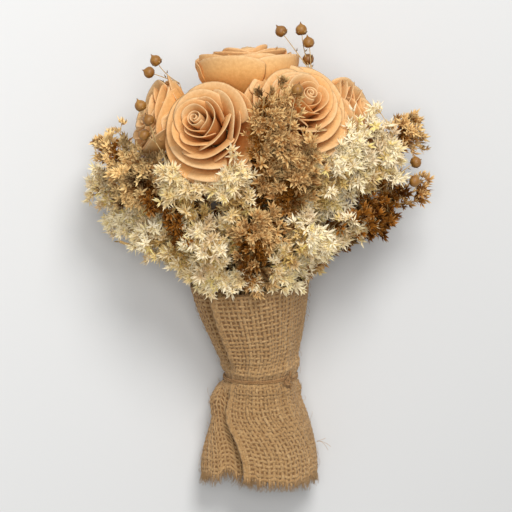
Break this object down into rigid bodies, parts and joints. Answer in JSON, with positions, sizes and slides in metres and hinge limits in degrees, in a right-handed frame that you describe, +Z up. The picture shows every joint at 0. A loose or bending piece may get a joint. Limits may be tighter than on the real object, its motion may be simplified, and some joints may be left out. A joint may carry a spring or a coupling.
{
  "type": "dried wood rose bouquet",
  "caption": "Hand-tied posy of apricot wood roses with a collar of dried cream statice, tan caspia and flax pods, its stems rolled in burlap and tied with twine.",
  "frame": {"origin": "centre of the bounding box on the surface that the posy lies on", "axes": "+Y from the burlap hem to the flowers, +Z up from the surface, +X to the right seen from above with the flowers away"},
  "size_m": [0.211, 0.2816, 0.1481],
  "materials": {
    "sola_wood": "matt, soft and papery, dyed apricot, paler at the rims and deep orange in the folds",
    "floral_tape": "matt crepe paper tape",
    "statice": "matt, dry cream bracts with greenish yellow bases",
    "caspia": "matt, dry tan florets on brown twigs",
    "flax": "satin golden brown seed pods on straw coloured stalks",
    "burlap": "coarse open jute weave, matt",
    "twine": "twisted jute, matt"
  },
  "bodies": {
    "root": {"burlap_wrap": "burlap", "caspia_back_left": "caspia", "caspia_back_mid": "caspia", "caspia_centre": "caspia", "caspia_far_right": "caspia", "caspia_front_right": "caspia", "caspia_left": "caspia", "caspia_left_mid": "caspia", "caspia_low_back_left": "caspia", "caspia_low_back_right": "caspia", "caspia_low_front": "caspia", "caspia_right": "caspia", "caspia_side_right": "caspia", "cut_twig": "caspia", "flax_centre": "flax", "flax_left": "flax", "flax_left_front": "flax", "flax_right": "flax", "flax_top": "flax", "rose_back_bud": "sola_wood", "rose_back_inner_petals": "sola_wood", "rose_back_outer_petals": "sola_wood", "rose_back_stem": "floral_tape", "rose_front_left_bud": "sola_wood", "rose_front_left_inner_petals": "sola_wood", "rose_front_left_outer_petals": "sola_wood", "rose_front_left_stem": "floral_tape", "rose_front_right_bud": "sola_wood", "rose_front_right_inner_petals": "sola_wood", "rose_front_right_outer_petals": "sola_wood", "rose_front_right_stem": "floral_tape", "rose_left_bud": "sola_wood", "rose_left_inner_petals": "sola_wood", "rose_left_outer_petals": "sola_wood", "rose_left_stem": "floral_tape", "rose_right_bud": "sola_wood", "rose_right_inner_petals": "sola_wood", "rose_right_outer_petals": "sola_wood", "rose_right_stem": "floral_tape", "rose_top_bud": "sola_wood", "rose_top_inner_petals": "sola_wood", "rose_top_outer_petals": "sola_wood", "rose_top_stem": "floral_tape", "statice_back_mid": "statice", "statice_back_right": "statice", "statice_front_left": "statice", "statice_front_mid": "statice", "statice_left": "statice", "statice_low_back": "statice", "statice_low_front_left": "statice", "statice_low_front_right": "statice", "statice_low_left": "statice", "statice_low_right": "statice", "statice_right": "statice", "statice_right_inner": "statice", "statice_side_left": "statice", "stem_tape": "floral_tape", "twine": "twine"}
  },
  "joints": []
}
